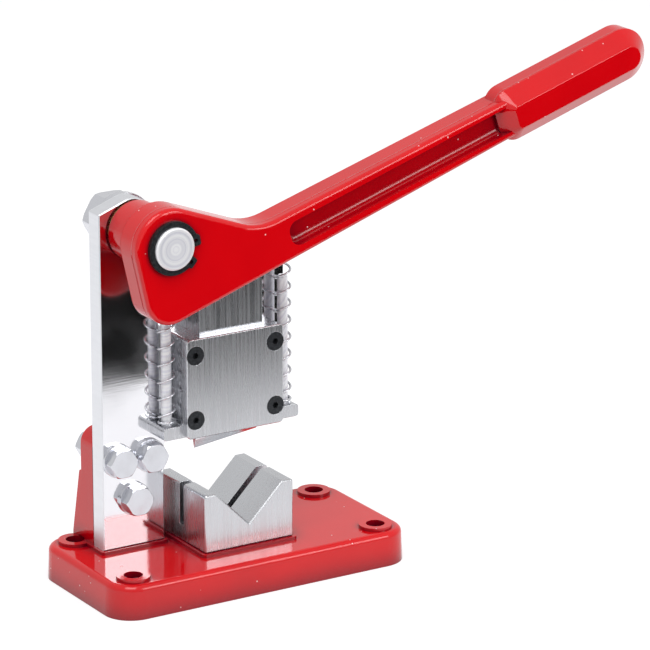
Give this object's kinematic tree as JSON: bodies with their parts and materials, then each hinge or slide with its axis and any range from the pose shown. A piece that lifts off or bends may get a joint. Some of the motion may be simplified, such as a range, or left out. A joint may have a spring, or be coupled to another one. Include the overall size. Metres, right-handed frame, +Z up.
{
  "type": "pipe cutter",
  "caption": "Bench guillotine pipe cutter: a channelled hand lever turns on a pin and its cam pushes a guided blade down onto a slotted V block under a C frame.",
  "frame": {"origin": "centre of the base's bolt pattern on its underside, directly under the line of the cut", "axes": "+Z up, +X along the lever towards its grip, -Y towards the operator's near side where the lever hangs; the blade moves in the plane y = 0"},
  "size_m": [0.2996, 0.08, 0.2412],
  "materials": {
    "red_enamel": "gloss enamel over a casting, fine orange peel",
    "ground_plate": "polished face with satin edges",
    "black_spring_steel": "phosphated, satin black",
    "bronze": "turned bearing bronze",
    "turned_steel": "turned and ground, bright",
    "blade_steel": "hardened, ground edge",
    "ground_steel": "surface ground",
    "spring_wire": "bright spring wire",
    "black_screw_steel": "black oxide",
    "zinc_plated_steel": "bright zinc plate"
  },
  "bodies": {
    "frame": {"base": "red_enamel", "circlip": "black_spring_steel", "frame_bolt_1": "zinc_plated_steel", "frame_bolt_2": "zinc_plated_steel", "frame_bolt_3": "zinc_plated_steel", "frame_nut_1": "zinc_plated_steel", "frame_nut_2": "zinc_plated_steel", "frame_nut_3": "zinc_plated_steel", "frame_plate": "ground_plate", "frame_washer_1": "zinc_plated_steel", "frame_washer_2": "zinc_plated_steel", "frame_washer_3": "zinc_plated_steel", "guide_rail_left": "ground_steel", "guide_rail_right": "ground_steel", "keeper": "ground_steel", "keeper_screw_1": "black_screw_steel", "keeper_screw_2": "black_screw_steel", "keeper_screw_3": "black_screw_steel", "keeper_screw_4": "black_screw_steel", "pin_nut": "zinc_plated_steel", "pin_washer": "zinc_plated_steel", "pivot_pin": "turned_steel", "spring_left": "spring_wire", "spring_right": "spring_wire", "spring_rod_left": "turned_steel", "spring_rod_right": "turned_steel", "stop_pin": "turned_steel", "thrust_washer": "bronze", "v_block": "ground_steel", "vee_screw_1": "black_screw_steel", "vee_screw_2": "black_screw_steel"},
    "lever_arm": {"lever": "red_enamel", "bush": "bronze", "cam": "ground_steel", "cam_screw_1": "black_screw_steel", "cam_screw_2": "black_screw_steel"},
    "blade_ram": {"ram": "ground_steel", "blade": "blade_steel", "blade_screw_1": "black_screw_steel", "blade_screw_2": "black_screw_steel"}
  },
  "joints": [
    {"name": "lever_hinge", "type": "hinge", "parent": "frame", "child": "lever_arm", "pos_m": [-0.044, 0, 0.172], "axis": [0, 1, 0], "range_deg": [0, 41.2]},
    {"name": "ram_slide", "type": "slide", "parent": "frame", "child": "blade_ram", "axis": [0, 0, -1], "range_m": [0, 0.0317], "stiffness_N_per_m": 1300, "springref_m": -0.024, "deforming": ["spring_left", "spring_right"]}
  ],
  "couplings": [
    {"joint": "ram_slide", "follows": "lever_hinge", "m_per_rad": 0.044}
  ]
}
